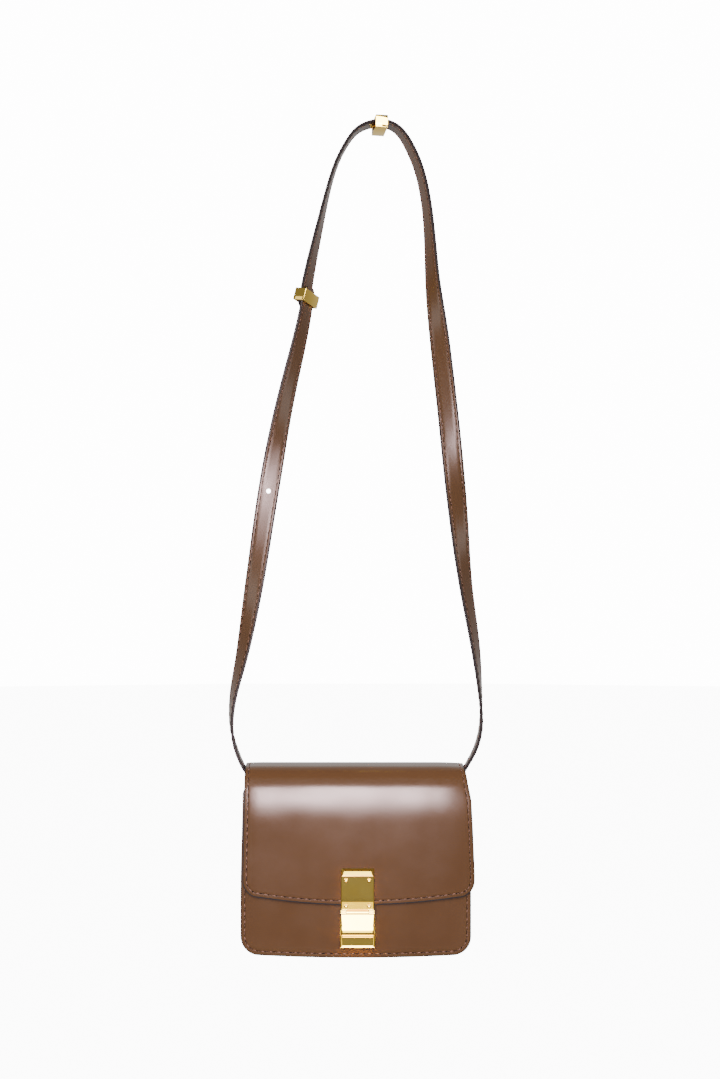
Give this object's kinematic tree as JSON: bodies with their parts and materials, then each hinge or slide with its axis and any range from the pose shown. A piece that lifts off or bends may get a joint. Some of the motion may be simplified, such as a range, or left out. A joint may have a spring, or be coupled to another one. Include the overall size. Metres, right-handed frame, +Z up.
{
  "type": "box bag",
  "caption": "Small box-shaped leather flap bag with a hinged lever clasp and a long adjustable shoulder strap, hanging by its strap.",
  "frame": {"origin": "the hang point: the strap's inner face at the top of its loop, where the bag hangs", "axes": "+Z up as it hangs, the front faces -Y, +X to the right seen from the front"},
  "size_m": [0.2053, 0.0569, 0.671],
  "materials": {
    "calf_leather": "smooth brown box calf, soft gloss",
    "gold_metal": "polished gold plate",
    "edge_paint": "dark painted edge, glossy",
    "thread": "waxed saddle thread"
  },
  "bodies": {
    "bag": {"front_panel": "calf_leather", "back_panel": "calf_leather", "gusset": "calf_leather", "flap": "calf_leather", "strap_long": "calf_leather", "strap_short": "calf_leather", "clasp_plate": "gold_metal", "clasp_screw_1": "gold_metal", "clasp_screw_2": "gold_metal", "clasp_screw_3": "gold_metal", "clasp_screw_4": "gold_metal", "clasp_hinge_pin": "gold_metal", "clasp_catch": "gold_metal", "strap_buckle": "gold_metal", "strap_stud": "gold_metal", "strap_keeper": "gold_metal"},
    "lever": {"clasp_lever": "gold_metal"}
  },
  "joints": [
    {"name": "clasp_hinge", "type": "hinge", "parent": "bag", "child": "lever", "pos_m": [-0.0176, -0.0278, -0.6279], "axis": [-1, 0, 0], "range_deg": [0, 85]}
  ]
}
